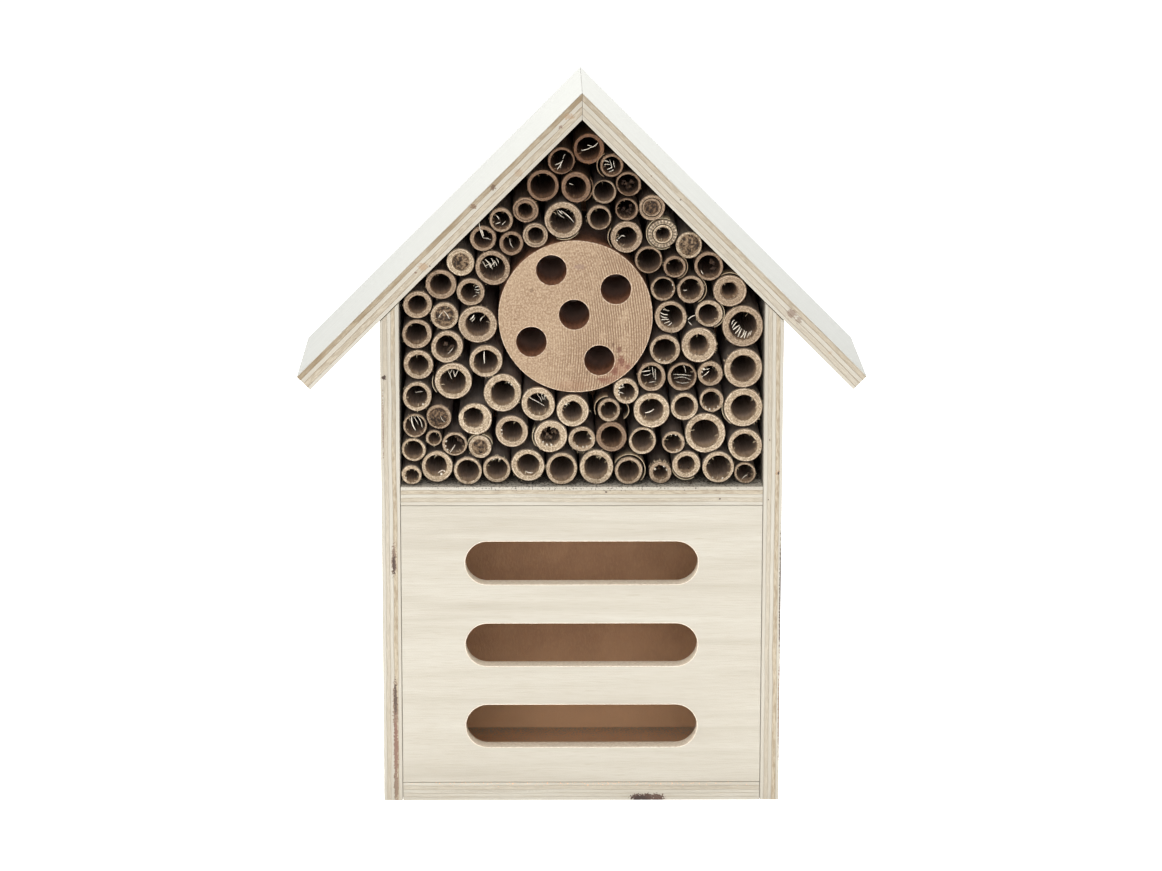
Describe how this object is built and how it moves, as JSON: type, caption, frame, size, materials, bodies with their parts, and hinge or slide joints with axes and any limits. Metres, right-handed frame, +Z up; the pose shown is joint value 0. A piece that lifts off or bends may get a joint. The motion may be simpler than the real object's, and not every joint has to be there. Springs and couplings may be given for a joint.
{
  "type": "insect hotel",
  "caption": "Gabled plywood insect hotel: a slotted chamber below a shelf, and a drilled log slice packed round with cut bamboo tubes in the open gable.",
  "frame": {"origin": "underside of the base board, at the middle of the wooden body's width and depth", "axes": "+Z up along the height, -Y out of the front (the slots and tubes face -Y), +X to the viewer's right"},
  "size_m": [0.2546, 0.0935, 0.3246],
  "materials": {
    "plywood": "unfinished pale poplar plywood, fine sanded, raw edges",
    "hardboard": "plain brown hardboard, matt",
    "log_wood": "raw sawn end grain, matt",
    "bamboo": "cut bamboo and reed, raw ends, satin skin",
    "steel": "zinc plated"
  },
  "bodies": {
    "root": {"left_wall": "plywood", "right_wall": "plywood", "roof_left": "plywood", "roof_right": "plywood", "base_board": "plywood", "shelf": "plywood", "front_panel": "plywood", "back_panel": "hardboard", "log_slice": "log_wood", "tube_group_01": "bamboo", "tube_group_02": "bamboo", "tube_group_03": "bamboo", "tube_group_04": "bamboo", "tube_group_05": "bamboo", "tube_group_06": "bamboo", "tube_group_07": "bamboo", "tube_group_08": "bamboo", "tube_group_09": "bamboo", "tube_group_10": "bamboo", "tube_group_11": "bamboo", "tube_group_12": "bamboo", "tube_group_13": "bamboo", "tube_group_14": "bamboo", "tube_group_15": "bamboo", "tube_group_16": "bamboo", "tube_group_17": "bamboo", "tube_group_18": "bamboo", "tube_group_19": "bamboo", "tube_group_20": "bamboo", "tube_group_21": "bamboo", "tube_group_22": "bamboo", "tube_group_23": "bamboo", "tube_group_24": "bamboo", "tube_group_25": "bamboo", "tube_group_26": "bamboo", "tube_group_27": "bamboo", "tube_group_28": "bamboo", "tube_group_29": "bamboo", "tube_group_30": "bamboo", "tube_group_31": "bamboo", "tube_group_32": "bamboo", "tube_group_33": "bamboo", "tube_group_34": "bamboo", "tube_group_35": "bamboo", "tube_group_36": "bamboo", "tube_group_37": "bamboo", "tube_group_38": "bamboo", "tube_group_39": "bamboo", "tube_group_40": "bamboo", "tube_group_41": "bamboo", "tube_group_42": "bamboo", "hanger": "steel", "hanger_nail_left": "steel", "hanger_nail_right": "steel", "back_nail_left_1": "steel", "back_nail_left_2": "steel", "back_nail_left_3": "steel", "back_nail_right_1": "steel", "back_nail_right_2": "steel", "back_nail_right_3": "steel"}
  },
  "joints": []
}
